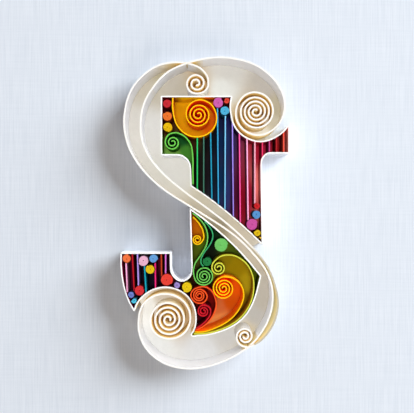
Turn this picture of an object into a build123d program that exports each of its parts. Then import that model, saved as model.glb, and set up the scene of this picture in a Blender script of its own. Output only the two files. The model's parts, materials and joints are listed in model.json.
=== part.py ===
from build123d import *

import os
from math import atan2, ceil, cos, degrees, pi, radians, sqrt

# A quilled paper panel. Strips of paper stand on edge on a square backing board.
# Two long ivory ribbons, rolled up at both ends, cross twice and draw a tall double curve.
# Two ivory rims stand inside it, each a closed cell with a coloured floor,
# and each cell is packed with coloured scrolls, tight coils and straight strips.
#
# Millimetres. The panel lies flat: X runs to the right and Y up the picture, and the strips
# rise along +Z towards the viewer. The origin is the middle of the board's underside.

# Sizes of the panel and its papers.
board_side = 170.0
board_thickness = 2.0
floor_thickness = 0.3
strip_height = 10.0
ribbon_thickness = 0.65
rim_thickness = 0.5
strip_thickness = 0.45
ribbon_eye_radius = 0.55
scroll_eye_radius = 0.45
coil_eye_radius = 0.25
coil_end_step = 0.2

# Thinnest gap left between pieces that are glued side by side.
glue_gap = 0.1

# Height at which everything inside a cell stands, on the cell's coloured sheet.
inside_base = board_thickness + floor_thickness

# How far the paper turns between two short flats, in degrees, on long curves and in rolls.
curve_flat = 15.0
roll_flat = 22.5

# Headings that spread less than this are one heading, and points nearer than this one point.
same_heading = 1e-9
same_place = 1e-6


# Lines of the strips, seen from above

def flat_point(x, y):
    return Vector(x, y)


def left_of(heading):
    return Vector(-heading.Y, heading.X)


def turn_between(first, second):
    """The angle from one heading to another, in degrees, positive to the left."""
    across = first.X * second.Y - first.Y * second.X
    along = first.X * second.X + first.Y * second.Y
    return degrees(atan2(across, along))


def mirrored(heading, chord):
    """The heading at the far end of an arc that leaves on a heading and spans a chord."""
    along = chord.normalized()
    return along * (2 * along.dot(heading)) - heading


def arc_between(start, end, heading):
    """Points of the arc that leaves start on a heading and reaches end, without its start."""
    chord = end - start
    swing = 2 * turn_between(heading, chord)
    flats = ceil(abs(swing) / curve_flat)
    if flats < 2:
        return [end]
    radius = chord.length / 2 / cos(radians(90 - swing / 2))
    centre = start + left_of(heading) * radius
    spoke = start - centre
    return [centre + spoke.rotate(Axis.Z, swing * step / flats) for step in range(1, flats)] + [end]


def joined_arcs(start, end, leaving, arriving):
    """Two tangent arcs between two points, each with its own heading."""
    chord = end - start
    both = chord.dot(leaving + arriving)
    spread = 2 * (1 - leaving.dot(arriving))
    if spread < same_heading:
        reach = chord.dot(chord) / (2 * both)
    else:
        reach = (sqrt(both ** 2 + spread * chord.dot(chord)) - both) / spread
    meeting = (start + end + (leaving - arriving) * reach) * 0.5
    half_way = mirrored(leaving, meeting - start)
    return arc_between(start, meeting, leaving) + arc_between(meeting, end, half_way)


def curve_through(corners, leaving=None, arriving=None):
    """A smooth line of tangent arcs through a few chosen points."""
    points = [flat_point(*corner) for corner in corners]
    headings = [None] * len(points)
    for i in range(1, len(points) - 1):
        before = points[i] - points[i - 1]
        after = points[i + 1] - points[i]
        headings[i] = (before / before.dot(before) + after / after.dot(after)).normalized()
    if len(points) == 2:
        headings[0] = leaving or (points[1] - points[0]).normalized()
        headings[1] = arriving or headings[0]
    else:
        headings[0] = leaving or mirrored(headings[1], points[1] - points[0])
        headings[-1] = arriving or mirrored(headings[-2], points[-1] - points[-2])
    line = [points[0]]
    for i in range(len(points) - 1):
        line += joined_arcs(points[i], points[i + 1], headings[i], headings[i + 1])
    return line


def rolled_from(start, roll):
    """A roll from its outer start to its eye: its points without the start, and its heading.

    A roll is its centre, the radius at its eye, its turns, and 1 for a left-hand roll or -1.
    """
    (x, y), eye_radius, turns, way = roll
    centre = flat_point(x, y)
    spoke = flat_point(*start) - centre
    outer_radius = spoke.length
    flats = ceil(turns * 360 / roll_flat)
    line = []
    for step in range(1, flats + 1):
        share = step / flats
        radius = outer_radius + (eye_radius - outer_radius) * share
        line.append(centre + spoke.normalized().rotate(Axis.Z, way * 360 * turns * share) * radius)
    shrink = (outer_radius - eye_radius) / (2 * pi * turns)
    heading = left_of(spoke) * way - spoke.normalized() * shrink
    return line, heading.normalized()


def strip_line(corners, roll=None, first_roll=None):
    """The middle line of one strip through chosen points, rolled up at one end or both."""
    leaving = arriving = None
    before, after = [], []
    if first_roll:
        inward, heading = rolled_from(corners[0], first_roll)
        before = inward[::-1]
        leaving = heading * -1
    if roll:
        after, arriving = rolled_from(corners[-1], roll)
    return before + curve_through(corners, leaving, arriving) + after


# Outlines of strips and cells

def shifted(line, distance, closed=False):
    """The line moved to its left by a distance, with its corners mitred."""
    count = len(line)
    moved = []
    for i, point in enumerate(line):
        before = point - line[i - 1] if closed or i > 0 else None
        after = line[(i + 1) % count] - point if closed or i < count - 1 else None
        first = (before or after).normalized()
        second = (after or before).normalized()
        middle = (first + second).normalized()
        moved.append(point + left_of(middle) * (distance / first.dot(middle)))
    return moved


def folded_at_corners(*stretches):
    """One closed line of several stretches, each starting where the last ended or beyond it."""
    line = []
    for stretch in stretches:
        touching = line and (stretch[0] - line[-1]).length < same_place
        line += stretch[1:] if touching else stretch
    return line


def outline_face(points):
    return make_face(Polyline(*points, close=True))


def strip_face(line, thickness):
    """What one strip covers, seen from above."""
    return outline_face(shifted(line, thickness / 2) + shifted(line, -thickness / 2)[::-1])


def cell_face(rim_line, clear=0.0):
    """The space inside a rim, up to a clear distance from its middle line."""
    return outline_face(shifted(rim_line, -clear, closed=True))


def standing(face, height, base):
    return Pos(0, 0, base) * extrude(face, amount=height)


# The two long ribbons

upper_roll = ((17.6, 34.2), ribbon_eye_radius, 3.9, -1)
upper_inner_roll = ((-3.8, 44.3), ribbon_eye_radius, 1.8, -1)
lower_roll = ((-13.9, -40.8), ribbon_eye_radius, 3.6, -1)
lower_inner_roll = ((13.7, -46.8), ribbon_eye_radius, 2.0, -1)

outer_ribbon_line = strip_line(
    [
        (23.75, 34.2), (17.6, 41.1), (10.4, 34.0), (17.2, 25.8), (24.9, 28.6), (28.0, 36.0),
        (26.2, 42.8), (22.5, 47.4), (17.3, 51.0), (11.0, 53.0), (4.4, 53.7), (-2.5, 52.9),
        (-8.3, 51.2), (-14.1, 48.4), (-19.6, 42.6), (-22.8, 36.6), (-23.9, 29.9),
        (-23.2, 23.3), (-20.0, 16.7), (-12.8, 9.1), (-1.6, 0.6), (6.9, -5.9), (14.9, -13.3),
        (21.7, -21.6), (24.5, -28.6), (25.6, -34.6), (24.7, -40.2), (22.0, -45.4),
        (18.0, -49.2), (13.9, -50.6), (11.4, -49.2), (10.7, -46.8),
    ],
    roll=lower_inner_roll,
    first_roll=upper_roll,
)
inner_ribbon_line = strip_line(
    [
        (-7.2, 44.3), (-6.4, 41.8), (-3.4, 40.7), (-0.2, 42.2), (0.4, 45.6), (-2.2, 49.6),
        (-6.1, 51.3), (-11.5, 51.9), (-17.5, 50.7), (-23.0, 47.2), (-27.3, 41.8),
        (-29.5, 34.7), (-29.7, 27.6), (-27.8, 20.6), (-23.4, 13.6), (-16.4, 6.8),
        (-8.1, 1.3), (2.7, -5.4), (11.1, -11.4), (17.4, -17.9), (21.2, -23.0),
        (23.2, -28.2), (23.6, -34.2), (22.2, -40.4), (19.1, -46.0), (15.8, -49.8),
        (11.7, -52.8), (4.7, -56.2), (-2.5, -58.1), (-9.7, -58.1), (-16.9, -55.6),
        (-22.5, -50.2), (-24.7, -42.6), (-22.5, -34.7), (-15.6, -31.5), (-8.8, -33.9),
        (-6.0, -39.8), (-8.3, -45.6), (-13.9, -47.6), (-18.8, -45.4), (-20.3, -40.8),
    ],
    roll=lower_roll,
    first_roll=upper_inner_roll,
)

# Where the ribbons cross, each is notched to half its height around the other.
crossings = [(-7.8, 51.4), (16.4, -49.6)]
crossing_reach = 3.5

# The rims of the two cells, as the middle lines of their strips, clockwise from above

upper_rim_line = folded_at_corners(
    [flat_point(-16.4, 39.6)],
    curve_through([
        (8.8, 39.6), (8.45, 34.3), (10.1, 28.6), (14.4, 24.6), (19.8, 23.4), (25.2, 25.3),
        (29.5, 29.2),
    ]),
    [flat_point(29.5, 19.3)],
    curve_through([(22.7, 19.3), (20.3, 17.9), (19.5, 14.5)], Vector(-1, 0), Vector(0, -1)),
    curve_through([(19.9, -13.6), (11.6, -5.8), (1.7, 2.3), (-5.7, 7.4)]),
    curve_through([(-5.9, 12.4), (-7.2, 16.9), (-10.6, 18.6)], Vector(0, 1), Vector(-1, 0)),
    [flat_point(-16.4, 18.6)],
)
lower_rim_line = folded_at_corners(
    curve_through([(-6.0, -1.0), (2.7, -7.6), (11.1, -15.4), (19.2, -24.9)]),
    curve_through([
        (19.2, -24.9), (18.2, -29.5), (16.4, -34.9), (13.9, -39.1), (9.9, -42.6),
        (4.7, -45.0), (-1.1, -46.3), (-5.6, -46.35),
    ]),
    curve_through([
        (-5.6, -46.35), (-4.0, -39.4), (-7.2, -32.2), (-14.0, -29.1), (-21.6, -31.1),
        (-26.3, -37.4),
    ]),
    curve_through([(-26.3, -37.4), (-29.0, -32.0), (-30.6, -25.0), (-30.9, -16.8)]),
    [flat_point(-13.2, -16.8)],
    curve_through([
        (-13.1, -22.1), (-11.9, -25.3), (-9.2, -26.8), (-6.5, -25.6), (-5.4, -22.0),
    ], Vector(0, -1), Vector(0, 1)),
)

# The scrolls: a tail through chosen points, then a roll

scroll_lines = {
    "scroll_amber": strip_line(
        [(-12.3, 39.1), (-12.2, 34.0), (-10.4, 28.7), (-6.1, 25.4), (-0.6, 25.7), (2.8, 28.9),
         (3.3, 33.0), (0.9, 37.1), (-3.1, 38.3), (-6.2, 36.7), (-7.5, 33.2)],
        roll=((-3.1, 33.0), scroll_eye_radius, 2.9, 1),
    ),
    "scroll_green": strip_line(
        [(-5.05, 8.0), (-5.1, 13.0), (-5.2, 18.5), (-6.0, 22.6), (-8.7, 25.6), (-11.7, 26.5),
         (-14.2, 25.4), (-15.0, 23.1)],
        roll=((-12.4, 23.0), scroll_eye_radius, 1.9, 1),
    ),
    "scroll_yellow_small": strip_line(
        [(-5.1, -3.8), (-2.9, -6.1), (-1.4, -9.2), (-1.4, -12.0), (-3.5, -13.6)],
        roll=((-3.5, -11.9), scroll_eye_radius, 1.7, -1),
    ),
    "scroll_light_green": strip_line(
        [(-5.2, -2.4), (-2.4, -4.8), (-0.8, -7.0), (0.2, -10.3), (-0.2, -13.7), (-2.5, -17.8),
         (-4.4, -20.8), (-4.8, -24.4), (-3.4, -27.4), (-0.8, -28.2), (1.7, -26.4),
         (1.4, -23.4), (-1.1, -22.1), (-3.4, -23.6), (-3.6, -25.1)],
        roll=((-1.1, -25.1), scroll_eye_radius, 2.2, 1),
    ),
    "scroll_teal": strip_line(
        [(-0.9, -5.5), (0.8, -7.2), (2.1, -10.4), (1.0, -13.8), (-0.5, -15.8), (-1.5, -17.4),
         (-2.2, -19.2), (-1.9, -20.9), (-1.2, -21.5)],
    ),
    "scroll_lime": strip_line(
        [(-4.8, -45.75), (-1.0, -45.65), (4.5, -44.35), (9.4, -42.05), (13.2, -38.7),
         (15.6, -34.7), (16.8, -29.4), (16.3, -24.6), (13.5, -19.9), (8.6, -17.5),
         (4.0, -18.5), (1.75, -22.1)],
        roll=((4.2, -22.1), scroll_eye_radius, 2.0, 1),
    ),
    "scroll_orange": strip_line(
        [(-4.45, -45.1), (-0.8, -44.95), (2.9, -43.7), (8.6, -40.4), (12.2, -35.6),
         (13.2, -31.7), (12.1, -28.1), (8.6, -25.6), (4.5, -25.8), (2.3, -29.5)],
        roll=((6.0, -29.5), scroll_eye_radius, 3.0, 1),
    ),
    "scroll_vermilion": strip_line(
        [(-4.15, -44.4), (-1.4, -43.1), (0.9, -41.0), (2.6, -38.2), (3.3, -35.2), (2.7, -32.3),
         (1.3, -30.0), (-0.8, -28.95), (-3.2, -29.1), (-5.1, -30.2), (-5.8, -31.9),
         (-5.0, -33.7), (-3.1, -34.8), (-1.0, -34.3), (0.0, -32.5), (-0.9, -30.6),
         (-2.8, -29.8)],
        roll=((-2.8, -32.0), scroll_eye_radius, 2.3, 1),
    ),
    "scroll_crimson": strip_line(
        [(-3.9, -43.8), (-2.0, -42.6), (0.1, -40.6), (1.3, -38.3), (1.0, -36.6),
         (-0.5, -35.6), (-2.4, -35.9), (-3.2, -37.5)],
        roll=((-1.3, -37.7), scroll_eye_radius, 1.8, 1),
    ),
}

# Tight coils: centre and radius

upper_coils = {
    "coil_red": (-14.35, 36.9, 1.6),
    "coil_orange": (-14.2, 32.5, 1.75),
    "coil_yellow": (-14.2, 28.5, 1.75),
    "coil_magenta": (4.1, 37.3, 1.9),
    "coil_scarlet": (7.1, 38.1, 1.1),
    "coil_cyan": (6.35, 34.35, 1.7),
    "coil_foot_red": (18.05, 0.2, 1.2),
    "coil_foot_blue": (17.7, -2.9, 1.6),
    "coil_foot_magenta": (16.2, -6.5, 2.1),
    "coil_foot_yellow": (18.15, -9.45, 1.3),
    "coil_foot_orange": (19.0, -11.3, 0.5),
}
lower_coils = {
    "coil_hook_orange": (-28.8, -18.75, 1.6),
    "coil_hook_pink": (-22.9, -19.5, 1.9),
    "coil_hook_blue": (-19.3, -18.8, 1.6),
    "coil_hook_yellow": (-20.4, -22.6, 1.7),
    "coil_hook_periwinkle": (-27.4, -31.75, 1.2),
    "coil_hook_red": (-24.25, -30.3, 1.85),
    "coil_hook_cyan": (-26.25, -33.9, 1.0),
    "coil_bowl_red": (-14.5, -26.4, 2.25),
    "coil_bowl_lavender": (-10.7, -28.3, 1.2),
    "coil_bowl_yellow": (-7.3, -29.0, 1.9),
    "coil_bowl_green": (5.1, -13.9, 2.5),
    "coil_bowl_emerald": (0.1, -19.8, 1.7),
}

# Straight strips: top and bottom ends, drawn past what they meet and then trimmed to it

stem_strips = {
    "stem_green": ((-3.5, 26.2), (-3.5, 3.0)),
    "stem_grey_green": ((-1.2, 26.4), (-1.2, 1.0)),
    "stem_teal": ((1.25, 28.5), (1.8, 0.0)),
    "stem_sky": ((3.75, 37.0), (4.1, -2.0)),
    "stem_light_blue": ((6.6, 34.4), (6.4, -4.0)),
    "stem_lavender": ((9.1, 32.0), (9.5, -6.0)),
    "stem_pink": ((11.6, 30.0), (12.0, -9.0)),
    "stem_light_pink": ((14.3, 28.0), (14.8, -6.0)),
    "stem_pale_pink": ((17.2, 26.0), (17.2, 0.4)),
    "stem_hot_pink": ((19.9, 26.0), (19.9, 15.0)),
    "stem_magenta": ((22.4, 27.0), (22.4, 18.0)),
    "stem_red": ((24.9, 28.0), (24.9, 18.0)),
    "stem_orange_red": ((27.5, 30.0), (27.5, 18.0)),
}
hook_strips = {
    "hook_pale_pink": ((-29.2, -18.8), (-28.7, -30.8)),
    "hook_red": ((-27.0, -15.0), (-26.2, -30.4)),
    "hook_lavender": ((-25.1, -15.0), (-24.6, -30.4)),
    "hook_teal": ((-22.6, -20.0), (-21.8, -33.0)),
    "hook_hot_pink": ((-18.7, -19.0), (-18.5, -32.0)),
    "hook_orange_red": ((-16.5, -15.0), (-16.3, -26.0)),
    "hook_violet_pink": ((-14.9, -15.0), (-14.9, -26.0)),
}


# Pieces

def crossed_ribbons():
    """The two ribbons, each notched to half its height where the other passes."""
    base = board_thickness
    half = strip_height / 2
    outer_face = strip_face(outer_ribbon_line, ribbon_thickness)
    inner_face = strip_face(inner_ribbon_line, ribbon_thickness)
    near = Sketch() + [Pos(x, y) * Circle(crossing_reach) for x, y in crossings]
    wide = ribbon_thickness + 2 * glue_gap
    outer_notch = strip_face(inner_ribbon_line, wide) & near
    inner_notch = strip_face(outer_ribbon_line, wide) & near
    outer = standing(outer_face, strip_height, base) - standing(outer_notch, half, base)
    inner = standing(inner_face, strip_height, base) - standing(inner_notch, half, base + half)
    return {"ribbon_outer": outer, "ribbon_inner": inner}


def rim_and_floor(rim_line):
    """One cell's rim, on the board, and the coloured sheet cut to fit inside it."""
    half = rim_thickness / 2
    rim_face = cell_face(rim_line, -half) - cell_face(rim_line, half)
    floor_face = cell_face(rim_line, half + glue_gap)
    rim = standing(rim_face, strip_height, board_thickness)
    floor = standing(floor_face, floor_thickness, board_thickness)
    return rim, floor, floor_face


def tight_coil(x, y, radius):
    """A strip wound tight round a small eye, its loose end a step on the outside."""
    centre = flat_point(x, y)
    flats = round(360 / roll_flat)
    outline = []
    for step in range(flats + 1):
        share = step / flats
        spoke = Vector(radius - coil_end_step * share, 0)
        outline.append(centre + spoke.rotate(Axis.Z, 360 * share))
    eye = Pos(x, y) * RegularPolygon(coil_eye_radius, flats // 2)
    return standing(outline_face(outline) - eye, strip_height, inside_base)


def straight_strip(ends, floor_face, coils, scrolls):
    """A straight strip trimmed to its cell's rim and to the coils and scrolls it meets."""
    face = strip_face([flat_point(*end) for end in ends], strip_thickness) & floor_face
    for x, y, radius in coils.values():
        face -= Pos(x, y) * Circle(radius + glue_gap)
    for line in scrolls:
        face -= strip_face(line, strip_thickness + 2 * glue_gap)
    longest = max(face.faces(), key=lambda piece: piece.area)
    return standing(longest, strip_height, inside_base)


def panel():
    """Every piece of the panel by name."""
    board = Pos(0, 0, board_thickness / 2) * Box(board_side, board_side, board_thickness)
    pieces = {"backing_board": board}
    pieces.update(crossed_ribbons())
    upper_rim, upper_floor, upper_floor_face = rim_and_floor(upper_rim_line)
    lower_rim, lower_floor, lower_floor_face = rim_and_floor(lower_rim_line)
    pieces["rim_upper"] = upper_rim
    pieces["rim_lower"] = lower_rim
    pieces["floor_upper"] = upper_floor
    pieces["floor_lower"] = lower_floor
    for name, line in scroll_lines.items():
        pieces[name] = standing(strip_face(line, strip_thickness), strip_height, inside_base)
    for name, place in (upper_coils | lower_coils).items():
        pieces[name] = tight_coil(*place)
    amber = [scroll_lines["scroll_amber"]]
    for name, ends in stem_strips.items():
        pieces[name] = straight_strip(ends, upper_floor_face, upper_coils, amber)
    for name, ends in hook_strips.items():
        pieces[name] = straight_strip(ends, lower_floor_face, lower_coils, [])
    return pieces


os.makedirs("parts", exist_ok=True)
for name, piece in panel().items():
    export_step(piece, f"parts/{name}.step")
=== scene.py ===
# %% [markdown]
# # A quilled paper panel
# Quilling is drawing with paper strips that stand on edge. This panel has two long ivory ribbons with
# rolled ends, two ivory rims that close off a cell each, and coloured scrolls, tight coils and straight
# strips packed inside the cells. All of it stands on a square board with a linen embossing.
#
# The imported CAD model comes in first. It is the fixed frame: its pieces have the right places and sizes,
# but their curves are made of short flats. Each cell below reads a piece's place from that frame and
# builds a smooth strip of paper there.

# %% Load the frame
import json
from math import cos, degrees, pi, radians, sin

import bmesh
import bpy
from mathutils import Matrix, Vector
from mathutils.bvhtree import BVHTree

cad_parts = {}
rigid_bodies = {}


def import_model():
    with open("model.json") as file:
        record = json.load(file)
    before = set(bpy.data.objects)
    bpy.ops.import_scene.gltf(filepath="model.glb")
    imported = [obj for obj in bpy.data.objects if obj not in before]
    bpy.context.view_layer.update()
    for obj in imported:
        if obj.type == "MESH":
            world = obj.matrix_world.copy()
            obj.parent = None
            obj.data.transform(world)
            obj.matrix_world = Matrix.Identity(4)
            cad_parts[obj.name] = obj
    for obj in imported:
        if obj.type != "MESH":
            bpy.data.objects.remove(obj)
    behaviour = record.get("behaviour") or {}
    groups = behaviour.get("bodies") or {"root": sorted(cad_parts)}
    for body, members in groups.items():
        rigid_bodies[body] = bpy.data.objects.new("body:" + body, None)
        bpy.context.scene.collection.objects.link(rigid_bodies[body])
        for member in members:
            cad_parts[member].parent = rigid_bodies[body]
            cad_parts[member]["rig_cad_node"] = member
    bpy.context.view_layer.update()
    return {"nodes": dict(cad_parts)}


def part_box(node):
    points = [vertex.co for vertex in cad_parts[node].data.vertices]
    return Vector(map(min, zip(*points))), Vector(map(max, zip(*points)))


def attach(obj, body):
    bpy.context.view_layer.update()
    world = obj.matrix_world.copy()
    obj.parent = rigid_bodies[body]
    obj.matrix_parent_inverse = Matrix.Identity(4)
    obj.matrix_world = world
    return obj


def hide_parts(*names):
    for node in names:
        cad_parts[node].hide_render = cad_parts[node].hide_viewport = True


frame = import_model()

# %% [markdown]
# ## Sizes
# Blender works in metres here, and paper is measured in millimetres, so one name holds the step between
# them. The heights are read from the frame, and the thicknesses are those of the card and paper strips.

# %% Heights and thicknesses
MM = 0.001

board_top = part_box("backing_board")[1].z
ribbon_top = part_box("ribbon_outer")[1].z
floor_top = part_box("floor_upper")[1].z
strip_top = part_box("scroll_amber")[1].z

ribbon_thickness = 0.65 * MM
rim_thickness = 0.5 * MM
strip_thickness = 0.45 * MM
print("board top", board_top, "ribbon top", ribbon_top, "strip top", strip_top)

# %% [markdown]
# ## Working by hand, in code
# An operator acts on everything that is selected, so each step starts by clearing the selection and
# picking the one object that it is for. Places on the panel are written in millimetres from its middle,
# X to the right and Y up, as one would measure them with a ruler.


# %% Pick one object, and mark a place
def pick(piece):
    """Leaves only this object selected and active."""
    bpy.ops.object.select_all(action="DESELECT")
    piece.select_set(True)
    bpy.context.view_layer.objects.active = piece


def apply_all(piece):
    """Applies the object's modifiers, first to last."""
    pick(piece)
    for modifier in list(piece.modifiers):
        bpy.ops.object.modifier_apply(modifier=modifier.name)


def pieces_named(*starts):
    """All objects whose names start with one of these words."""
    return [piece for piece in bpy.context.scene.objects if piece.name.startswith(starts)]


def ruler(*places):
    """Places in millimetres as points in metres."""
    return [Vector((x * MM, y * MM)) for x, y in places]


def paint(colour, strength=1.0):
    """A colour as an eye would name it, 0 to 255, in the linear values that a shader takes."""
    linear = []
    for value in colour:
        share = value / 255
        straight = share / 12.92 if share <= 0.04045 else ((share + 0.055) / 1.055) ** 2.4
        linear.append(min(straight * strength, 1.0))
    return (*linear, 1.0)


# %% [markdown]
# ## The finish of paper, and its painted shade
# Paper is matt, a little mottled, and full of short fibres. Its cut edge, which is what the viewer sees
# from above, is brighter than its face, because the face looks into a narrow gap: the face's darker
# colour is painted shade. A node group holds what every paper here shares: it mixes the face and edge
# colours by which way the surface points, varies them softly, and gives a height for the bump.

# %% Small helpers for node trees
# Soft noise mostly stays between these two values.
noise_low, noise_high = 0.3, 0.7


def new_group(name, inputs, outputs):
    """An empty node group with named sockets, and its two end nodes."""
    group = bpy.data.node_groups.new(name, "ShaderNodeTree")
    for label, kind, value in inputs:
        socket = group.interface.new_socket(name=label, in_out="INPUT", socket_type=kind)
        socket.default_value = value
    for label, kind in outputs:
        group.interface.new_socket(name=label, in_out="OUTPUT", socket_type=kind)
    start = group.nodes.new("NodeGroupInput")
    end = group.nodes.new("NodeGroupOutput")
    return group, start, end


def add_node(tree, kind, **settings):
    """A new node with its settings."""
    node = tree.nodes.new(kind)
    for key, value in settings.items():
        setattr(node, key, value)
    return node


def feed(tree, socket, value):
    """Sets a socket to a plain value, or links it to another socket."""
    if isinstance(value, (int, float, tuple)):
        socket.default_value = value
    else:
        tree.links.new(value, socket)


def math_of(tree, operation, first, second=0.0):
    """The answer of a Math node for two numbers or sockets."""
    node = add_node(tree, "ShaderNodeMath", operation=operation)
    feed(tree, node.inputs[0], first)
    feed(tree, node.inputs[1], second)
    return node.outputs["Value"]


def vector_of(tree, operation, first, second):
    """The answer of a Vector Math node. Where it scales, the second input is a number."""
    node = add_node(tree, "ShaderNodeVectorMath", operation=operation)
    feed(tree, node.inputs[0], first)
    feed(tree, node.inputs["Scale" if operation == "SCALE" else 1], second)
    return node.outputs["Vector"]


def ranged(tree, value, low, high, to_low, to_high):
    """Maps a value from one range to another, and clamps it there."""
    node = add_node(tree, "ShaderNodeMapRange")
    limits = {"From Min": low, "From Max": high, "To Min": to_low, "To Max": to_high}
    for label, number in limits.items():
        node.inputs[label].default_value = number
    tree.links.new(value, node.inputs["Value"])
    return node.outputs["Result"]


def mixed(tree, share, first, second, blend="MIX"):
    """Two colours, mixed by a share."""
    node = add_node(tree, "ShaderNodeMix", data_type="RGBA", blend_type=blend)
    feed(tree, node.inputs[0], share)
    feed(tree, node.inputs[6], first)
    feed(tree, node.inputs[7], second)
    return node.outputs[2]


def noise_at(tree, place, scale, detail):
    """Soft noise with a feature size of one over the scale, in metres."""
    noise = add_node(tree, "ShaderNodeTexNoise")
    noise.inputs["Scale"].default_value = scale
    noise.inputs["Detail"].default_value = detail
    tree.links.new(place, noise.inputs["Vector"])
    return noise.outputs["Fac"]


# %% Node group: paper stock
# Clouds in the stock are about 1.4 mm across, and its fibres about 0.2 mm.
cloud_scale = 700.0
fibre_scale = 5200.0

# A face that points up by the first share begins to be cut edge. From the second on it is all edge.
edge_begins = 0.45
edge_full = 0.9


def build_paper_stock():
    """A group that gives every paper here its colour, its roughness and the height of its fibres."""
    group, start, end = new_group(
        "paper_stock",
        [
            ("Face Colour", "NodeSocketColor", (0.8, 0.8, 0.8, 1.0)),
            ("Edge Colour", "NodeSocketColor", (0.9, 0.9, 0.9, 1.0)),
            ("Mottle", "NodeSocketFloat", 0.12),
        ],
        [
            ("Colour", "NodeSocketColor"),
            ("Roughness", "NodeSocketFloat"),
            ("Height", "NodeSocketFloat"),
        ],
    )
    where = add_node(group, "ShaderNodeTexCoord")
    cloudy = noise_at(group, where.outputs["Object"], cloud_scale, 3.0)
    fibres = noise_at(group, where.outputs["Object"], fibre_scale, 4.0)
    facing = add_node(group, "ShaderNodeSeparateXYZ")
    group.links.new(where.outputs["Normal"], facing.inputs["Vector"])
    cut_edge = ranged(group, facing.outputs["Z"], edge_begins, edge_full, 0.0, 1.0)
    base = mixed(group, cut_edge, start.outputs["Face Colour"], start.outputs["Edge Colour"])
    uneven = math_of(group, "SUBTRACT", math_of(group, "ADD", cloudy, fibres), 1.0)
    shade = math_of(group, "ADD", 1.0, math_of(group, "MULTIPLY", uneven, start.outputs["Mottle"]))
    tinted = mixed(group, 1.0, base, shade, "MULTIPLY")
    group.links.new(tinted, end.inputs["Colour"])
    matt = ranged(group, fibres, noise_low, noise_high, 0.72, 0.9)
    group.links.new(matt, end.inputs["Roughness"])
    group.links.new(math_of(group, "ADD", fibres, cloudy), end.inputs["Height"])
    return group


paper_stock = build_paper_stock()
print("node group made:", paper_stock.name)


# %% Materials made from the group
def paper(name, face, edge, mottle=0.12, shine=0.1):
    """A paper with its face colour and its cut edge's colour, and how blotchy and shiny it is."""
    material = bpy.data.materials.new(name)
    material.use_nodes = True
    tree = material.node_tree
    shader = tree.nodes["Principled BSDF"]
    stock = add_node(tree, "ShaderNodeGroup")
    stock.node_tree = paper_stock
    feed(tree, stock.inputs["Face Colour"], face)
    feed(tree, stock.inputs["Edge Colour"], edge)
    stock.inputs["Mottle"].default_value = mottle
    tree.links.new(stock.outputs["Colour"], shader.inputs["Base Color"])
    tree.links.new(stock.outputs["Roughness"], shader.inputs["Roughness"])
    bump = add_node(tree, "ShaderNodeBump")
    bump.inputs["Strength"].default_value = 0.35
    bump.inputs["Distance"].default_value = 0.02 * MM
    tree.links.new(stock.outputs["Height"], bump.inputs["Height"])
    tree.links.new(bump.outputs["Normal"], shader.inputs["Normal"])
    shader.inputs["Specular IOR Level"].default_value = shine
    return material


def let_light_through(material, share, reach, depth):
    """Light spreads inside the paper. Depth says how far its red, green and blue parts go."""
    shader = material.node_tree.nodes["Principled BSDF"]
    shader.inputs["Subsurface Weight"].default_value = share
    shader.inputs["Subsurface Scale"].default_value = reach * MM
    shader.inputs["Subsurface Radius"].default_value = depth


# A coloured strip's face lies in the shade of its own gap, and keeps this share of its colour.
gap_shade = 0.35


def coloured(name, edge, strength):
    """A coloured strip's paper, with painted shade making its face deeper than its cut edge."""
    return paper(name, paint(edge, gap_shade), paint(edge, strength))


# %% [markdown]
# ## Ivory card
# The card is ivory all through. In a narrow gap the light meets its face many times over and takes a
# little more yellow from it each time, until the gap looks tan. The renderer stops after a few meetings,
# so that tan is painted on the card's face, as the tone that all of them would leave. How narrow the gap
# is in front of each face is measured later, when the strips stand, and is read here as an attribute of
# the face. Two more marks are read in the same way: one where the window stands behind the card, where a
# glow is painted on its face and painted shade on its cut edge, and one on the turns of a roll that
# stand in its own soft shade, which are painted a little greyer.

# %% Paper with a painted deep tone in its gaps
def stock_of(tree):
    """The paper stock's node in the node tree of a paper."""
    return next(node for node in tree.nodes if node.type == "GROUP")


def mark_of(tree, name):
    """How strongly a face of the mesh carries a mark, from 0 to 1."""
    return add_node(tree, "ShaderNodeAttribute", attribute_name=name).outputs["Fac"]


def gap_shaded_paper(name, open_face, painted_gap_face, edge, mottle=0.12):
    """Paper whose face is painted a deep tone in narrow gaps, as painted shade and reflected colour."""
    material = paper(name, open_face, edge, mottle)
    tree = material.node_tree
    tone = mixed(tree, mark_of(tree, "narrowness"), open_face, painted_gap_face)
    tree.links.new(tone, stock_of(tree).inputs["Face Colour"])
    return material


# %% Card with a painted glow, and card with painted shade
def glow_where_backlit(material, edge, glow, backlit_edge):
    """Paints a glow on the card's near face where the window is behind it, and paints its cut edge darker
    there.
    """
    tree = material.node_tree
    shader = tree.nodes["Principled BSDF"]
    behind = mark_of(tree, "backlit")
    tree.links.new(mixed(tree, behind, edge, backlit_edge), stock_of(tree).inputs["Edge Colour"])
    tree.links.new(mixed(tree, behind, (0.0, 0.0, 0.0, 1.0), glow), shader.inputs["Emission Color"])
    shader.inputs["Emission Strength"].default_value = 1.0


def dim_where_sheltered(material, dim_face):
    """Paints a face that stands in the soft shade of its own roll a little greyer."""
    tree = material.node_tree
    face_colour = stock_of(tree).inputs["Face Colour"]
    tone = face_colour.links[0].from_socket
    tree.links.new(mixed(tree, mark_of(tree, "sheltered"), tone, dim_face), face_colour)


# %% Mix the ivory card
ivory_edge = paint((230, 230, 229))
# The deep tone is a painted tan that stands for the light in narrow gaps.
ivory_card = gap_shaded_paper(
    "ivory_card", paint((239, 240, 244)), paint((238, 217, 154)), ivory_edge, mottle=0.05
)
let_light_through(ivory_card, share=0.2, reach=0.5, depth=(1.0, 0.97, 0.9))
# A painted glow and a painted darker cut edge where the window stands behind the card, and painted shade
# on the turns of the small rolls.
glow_where_backlit(
    ivory_card, ivory_edge, glow=paint((88, 108, 97)), backlit_edge=paint((170, 152, 130))
)
dim_where_sheltered(ivory_card, paint((214, 211, 207)))
print("card mixed:", ivory_card.name)
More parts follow.
